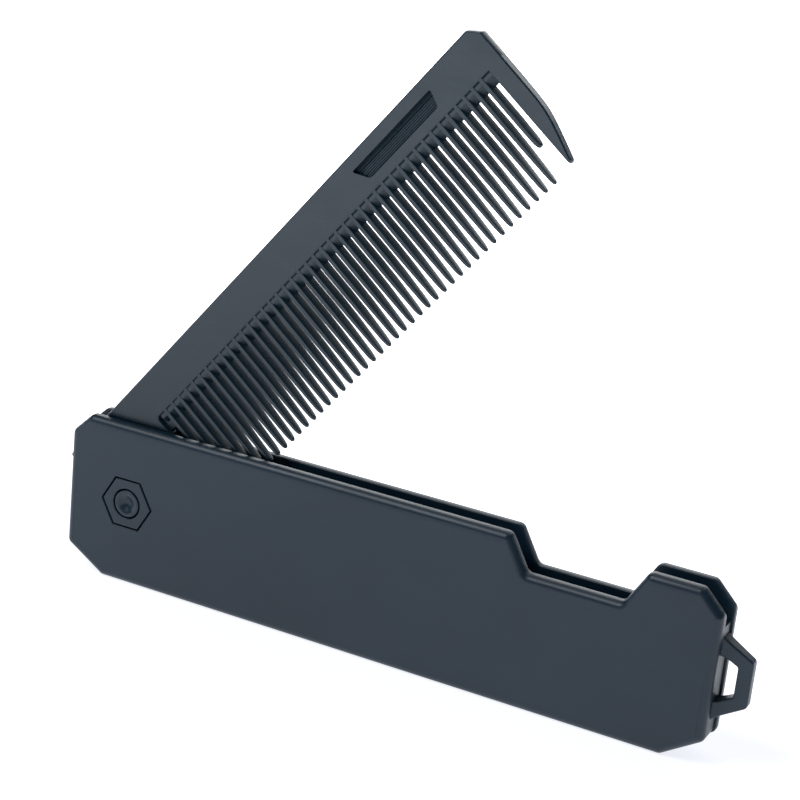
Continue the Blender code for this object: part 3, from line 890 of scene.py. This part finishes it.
class NodeSheet:
    """Short calls for a material's node tree."""

    def __init__(self, material):
        material.use_nodes = True
        self.tree = material.node_tree
        self.shader = self.tree.nodes["Principled BSDF"]
        place = self.tree.nodes.new("ShaderNodeTexCoord")
        self.place = place.outputs["Object"]

    def link(self, output, target):
        self.tree.links.new(output, target)

    def noise(self, scale, detail, roughness=0.5, stretch=None):
        source = self.place
        if stretch:
            mapping = self.tree.nodes.new("ShaderNodeMapping")
            mapping.inputs["Scale"].default_value = stretch
            self.link(source, mapping.inputs["Vector"])
            source = mapping.outputs["Vector"]
        node = self.tree.nodes.new("ShaderNodeTexNoise")
        node.inputs["Scale"].default_value = scale
        node.inputs["Detail"].default_value = detail
        node.inputs["Roughness"].default_value = roughness
        self.link(source, node.inputs["Vector"])
        return node.outputs["Fac"]

    def distance(self):
        """How far a point is from the object's origin."""
        node = self.tree.nodes.new("ShaderNodeVectorMath")
        node.operation = "LENGTH"
        self.link(self.place, node.inputs[0])
        return node.outputs["Value"]

    def behind(self):
        """How far a point is behind the object's origin."""
        node = self.tree.nodes.new("ShaderNodeSeparateXYZ")
        self.link(self.place, node.inputs["Vector"])
        return node.outputs["Y"]

    def spread(self, value, low, high, start=NOISE_LOW, end=NOISE_HIGH):
        """Map the values from start to end to a range."""
        node = self.tree.nodes.new("ShaderNodeMapRange")
        node.inputs["From Min"].default_value = start
        node.inputs["From Max"].default_value = end
        node.inputs["To Min"].default_value = low
        node.inputs["To Max"].default_value = high
        self.link(value, node.inputs["Value"])
        return node.outputs["Result"]

    def blend(self, factor, first, second):
        """Mix two colours, each a colour or an output."""
        node = self.tree.nodes.new("ShaderNodeMix")
        node.data_type = "RGBA"
        self.link(factor, node.inputs["Factor"])
        for value, name in ((first, "A"), (second, "B")):
            socket = [s for s in node.inputs if s.name == name and s.type == "RGBA"][0]
            if isinstance(value, tuple):
                socket.default_value = (*value, 1.0)
            else:
                self.link(value, socket)
        return [s for s in node.outputs if s.type == "RGBA"][0]

    def math(self, operation, first, second):
        node = self.tree.nodes.new("ShaderNodeMath")
        node.operation = operation
        for value, socket in zip((first, second), node.inputs):
            if isinstance(value, float):
                socket.default_value = value
            else:
                self.link(value, socket)
        return node.outputs["Value"]

    def bump(self, height, strength, distance):
        node = self.tree.nodes.new("ShaderNodeBump")
        node.inputs["Strength"].default_value = strength
        node.inputs["Distance"].default_value = distance
        self.link(height, node.inputs["Height"])
        self.link(node.outputs["Normal"], self.shader.inputs["Normal"])


def moulded_plastic(name, dark, light, roughness, ior):
    """Satin moulded plastic: cloudy tone, fine grain, smears and faint hairlines."""
    material = bpy.data.materials.new(name)
    sheet = NodeSheet(material)
    clouds = sheet.spread(sheet.noise(*CLOUDS), 0.0, 1.0)
    sheet.link(sheet.blend(clouds, dark, light), sheet.shader.inputs["Base Color"])
    grain = sheet.noise(*GRAIN)
    smears = sheet.noise(*SMEARS)
    hairs = sheet.noise(*HAIRS)
    rough = sheet.math(
        "ADD", sheet.spread(smears, -SMEAR_SHIFT, SMEAR_SHIFT),
        sheet.spread(grain, -GRAIN_SHIFT, GRAIN_SHIFT))
    rough = sheet.math("ADD", rough, sheet.spread(hairs, -HAIR_SHIFT, HAIR_SHIFT))
    sheet.link(sheet.math("ADD", rough, roughness), sheet.shader.inputs["Roughness"])
    sheet.bump(grain, *GRAIN_BUMP)
    sheet.shader.inputs["IOR"].default_value = ior
    return material


def floor_material():
    """Pale matt floor that glows a little, so that it fades to white. The glow is painted light,
    dimmer round the object as a painted shadow and brighter behind it as painted back light.
    """
    material = bpy.data.materials.new("studio_floor")
    sheet = NodeSheet(material)
    mottle = sheet.spread(sheet.noise(*FLOOR_MOTTLE), 0.0, 1.0)
    sheet.link(sheet.blend(mottle, FLOOR_DARK, FLOOR_LIGHT), sheet.shader.inputs["Base Color"])
    sheet.shader.inputs["Roughness"].default_value = FLOOR_ROUGH
    sheet.shader.inputs["Specular IOR Level"].default_value = FLOOR_SPECULAR
    # Painted light: the emission is weaker near the object, a painted shadow, and stronger
    # behind it, a painted pool of back light
    sheet.shader.inputs["Emission Color"].default_value = (*FLOOR_PAINTED_GLOW_TINT, 1.0)
    near, low = FLOOR_PAINTED_GLOW_NEAR
    far, high = FLOOR_PAINTED_GLOW_FAR
    painted_glow = sheet.spread(sheet.distance(), low, high, near, far)
    start, end, gain = FLOOR_PAINTED_BACKLIGHT
    painted_glow = sheet.math("MULTIPLY", painted_glow, sheet.spread(sheet.behind(), 1.0, gain, start, end))
    sheet.link(painted_glow, sheet.shader.inputs["Emission Strength"])
    sheet.bump(sheet.noise(*FLOOR_GRAIN), *FLOOR_BUMP)
    return material


def build_floor():
    bm = bmesh.new()
    bmesh.ops.create_grid(
        bm, x_segments=FLOOR_CELLS, y_segments=FLOOR_CELLS, size=FLOOR_HALF)
    mesh = bpy.data.meshes.new("studio_floor")
    bm.to_mesh(mesh)
    bm.free()
    mesh.materials.append(floor_material())
    floor = bpy.data.objects.new("studio_floor", mesh)
    bpy.context.scene.collection.objects.link(floor)


def aim(item, place, target):
    item.location = place
    item.rotation_mode = "QUATERNION"
    item.rotation_quaternion = (Vector(target) - Vector(place)).to_track_quat("-Z", "Y")


def softbox(name, place, target, width, height, power, colour):
    light = bpy.data.lights.new(name, "AREA")
    light.shape = "RECTANGLE"
    light.size = width
    light.size_y = height
    light.energy = power
    light.color = colour
    item = bpy.data.objects.new(name, light)
    bpy.context.scene.collection.objects.link(item)
    aim(item, place, target)


def build_lights():
    world = bpy.data.worlds.new("studio")
    world.use_nodes = True
    background = world.node_tree.nodes["Background"]
    background.inputs["Color"].default_value = (*WORLD_COLOUR, 1.0)
    background.inputs["Strength"].default_value = WORLD_STRENGTH
    bpy.context.scene.world = world
    for light in SOFTBOXES:
        softbox(*light)


def build_camera():
    azimuth = math.radians(CAMERA_AZIMUTH)
    elevation = math.radians(CAMERA_ELEVATION)
    back = Vector((
        math.sin(azimuth) * math.cos(elevation),
        -math.cos(azimuth) * math.cos(elevation),
        math.sin(elevation),
    ))
    right = Vector((math.cos(azimuth), math.sin(azimuth), 0.0))
    up = back.cross(right)
    roll = math.radians(CAMERA_ROLL)
    turned_right = right * math.cos(roll) + up * math.sin(roll)
    turned_up = up * math.cos(roll) - right * math.sin(roll)
    camera = bpy.data.objects.new("camera", bpy.data.cameras.new("camera"))
    bpy.context.scene.collection.objects.link(camera)
    place = (Vector(AIM) + back * CAMERA_DISTANCE) * MM
    turn = Matrix((turned_right, turned_up, back)).transposed()
    camera.matrix_world = Matrix.Translation(place) @ turn.to_4x4()
    camera.data.lens = CAMERA_LENS
    camera.data.clip_start = CAMERA_CLIP * MM
    bpy.context.scene.camera = camera
    bpy.context.scene.view_settings.view_transform = "Standard"


build_front_shell(moulded_plastic("front_shell_plastic", *HANDLE_LOOK))
build_back_plate(moulded_plastic("back_plate_plastic", *HANDLE_LOOK))
build_hex_nut(moulded_plastic("hex_nut_plastic", *HANDLE_LOOK))
build_pivot_pin(moulded_plastic("pivot_pin_plastic", *PIN_LOOK))
build_comb(moulded_plastic("comb_plastic_fine", *COMB_LOOK))
build_floor()
build_lights()
build_camera()
